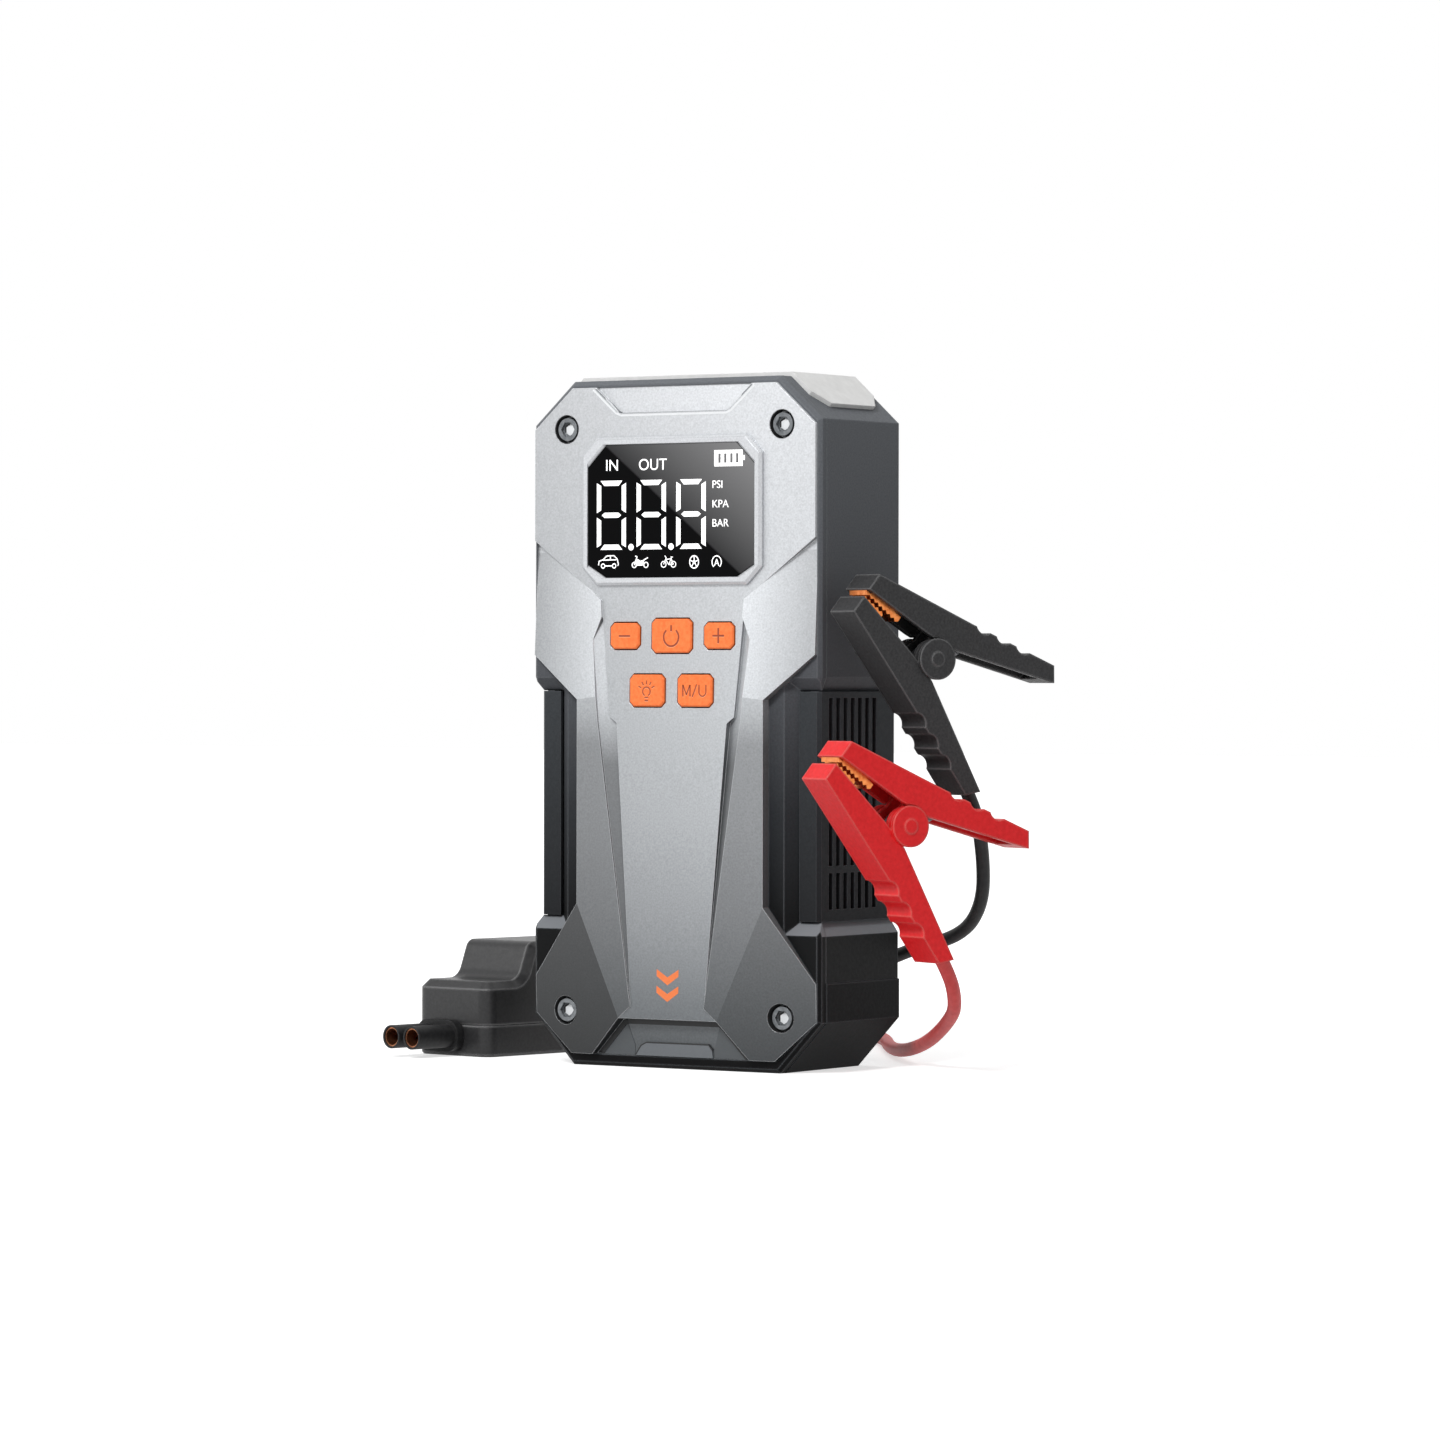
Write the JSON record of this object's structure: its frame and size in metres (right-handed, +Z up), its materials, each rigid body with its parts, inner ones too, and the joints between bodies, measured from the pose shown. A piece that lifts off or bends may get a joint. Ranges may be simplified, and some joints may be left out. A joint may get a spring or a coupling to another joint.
{
  "type": "jump starter pack",
  "caption": "Upright car jump starter and tyre inflator with screen, keys, top light, side ports and a loose clamp lead.",
  "frame": {"origin": "on the floor under the middle of the unit's width, 17.9 mm behind its case seam and 24 mm ahead of its back", "axes": "+X to the unit's right seen from the front, +Y to its back, +Z up"},
  "size_m": [0.2038, 0.1805, 0.2013],
  "materials": {
    "case_dark": "fine grain, slate grey",
    "bumper_rubber": "matt",
    "panel_dark": "fine grain, slate grey",
    "cover_silver": "silver metallic paint, fine grain",
    "screw_steel": "satin",
    "bezel_silver": "bright silver paint",
    "screen_glass": "gloss",
    "screen_black": "gloss",
    "key_orange": "satin",
    "pad_rubber": "matt",
    "board_green": "satin",
    "diffuser_pale": "frosted",
    "cell_foil": "satin foil",
    "motor_steel": "satin",
    "casting_alloy": "as cast",
    "hose_rubber": "matt",
    "port_dark": "matt",
    "contact_brass": "satin",
    "box_black": "satin",
    "plug_black": "matt",
    "cable_red": "matt",
    "cable_black": "matt",
    "clamp_red": "satin",
    "clamp_black": "fine grain",
    "jaw_copper": "satin copper"
  },
  "bodies": {
    "unit": {"rear_shell": "case_dark", "foot_bumper": "bumper_rubber", "front_frame": "case_dark", "right_side_panel": "panel_dark", "left_side_panel": "panel_dark", "front_cover": "cover_silver", "front_screws": "screw_steel", "display_bezel": "bezel_silver", "display_glass": "screen_glass", "display_module": "screen_black", "button_pad": "pad_rubber", "control_board": "board_green", "light_diffuser": "diffuser_pale", "light_board": "board_green", "battery_cells": "cell_foil", "battery_tray": "case_dark", "compressor_motor": "motor_steel", "crankcase": "casting_alloy", "compressor_cylinder": "casting_alloy", "cylinder_head": "casting_alloy", "inner_air_hose": "hose_rubber", "port_block": "port_dark", "outlet_block": "port_dark", "jump_socket": "port_dark", "socket_pins": "contact_brass", "usb_ports": "screw_steel", "air_outlet": "contact_brass", "power_board": "board_green"},
    "minus_button": {"minus_button": "key_orange"},
    "power_button": {"power_button": "key_orange"},
    "plus_button": {"plus_button": "key_orange"},
    "light_button": {"light_button": "key_orange"},
    "mode_button": {"mode_button": "key_orange"},
    "port_cover": {"port_cover": "bumper_rubber"},
    "jumper_lead": {"smart_box_upper": "box_black", "smart_box_lower": "box_black", "smart_box_board": "board_green", "lead_plug": "plug_black", "plug_contacts": "contact_brass", "cable_glands": "hose_rubber", "red_cable": "cable_red", "black_cable": "cable_black", "red_lower_arm": "clamp_red", "red_lower_teeth": "jaw_copper", "red_pivot": "clamp_red", "red_spring": "motor_steel", "red_crimp": "jaw_copper", "black_lower_arm": "clamp_black", "black_lower_teeth": "jaw_copper", "black_pivot": "clamp_black", "black_spring": "motor_steel", "black_crimp": "jaw_copper"},
    "red_upper_jaw": {"red_upper_arm": "clamp_red", "red_upper_teeth": "jaw_copper"},
    "black_upper_jaw": {"black_upper_arm": "clamp_black", "black_upper_teeth": "jaw_copper"}
  },
  "joints": [
    {"name": "minus_button_press", "type": "slide", "parent": "unit", "child": "minus_button", "axis": [0, 1, 0], "range_m": [0, 0.0006], "stiffness_N_per_m": 500, "springref_m": -0.0006},
    {"name": "power_button_press", "type": "slide", "parent": "unit", "child": "power_button", "axis": [0, 1, 0], "range_m": [0, 0.0006], "stiffness_N_per_m": 500, "springref_m": -0.0006},
    {"name": "plus_button_press", "type": "slide", "parent": "unit", "child": "plus_button", "axis": [0, 1, 0], "range_m": [0, 0.0006], "stiffness_N_per_m": 500, "springref_m": -0.0006},
    {"name": "light_button_press", "type": "slide", "parent": "unit", "child": "light_button", "axis": [0, 1, 0], "range_m": [0, 0.0006], "stiffness_N_per_m": 500, "springref_m": -0.0006},
    {"name": "mode_button_press", "type": "slide", "parent": "unit", "child": "mode_button", "axis": [0, 1, 0], "range_m": [0, 0.0006], "stiffness_N_per_m": 500, "springref_m": -0.0006},
    {"name": "port_cover_hinge", "type": "hinge", "parent": "unit", "child": "port_cover", "pos_m": [-0.0489, 0.0126, 0.076], "axis": [0, 0, -1], "range_deg": [0, 110]},
    {"name": "lead_lift", "type": "slide", "parent": "unit", "child": "jumper_lead", "axis": [0, 0, 1], "range_m": [0, 0.15]},
    {"name": "red_jaw_hinge", "type": "hinge", "parent": "jumper_lead", "child": "red_upper_jaw", "pos_m": [0.0772, -0.0236, 0.0717], "axis": [-0.8949, 0.4462, 0], "range_deg": [0, 30], "stiffness_Nm_per_rad": 0.6, "springref_deg": -28.65, "deforming": ["red_spring"]},
    {"name": "black_jaw_hinge", "type": "hinge", "parent": "jumper_lead", "child": "black_upper_jaw", "pos_m": [0.0724, -0.0013, 0.1188], "axis": [-0.8949, 0.4462, 0], "range_deg": [0, 30], "stiffness_Nm_per_rad": 0.6, "springref_deg": -28.65, "deforming": ["black_spring"]}
  ]
}
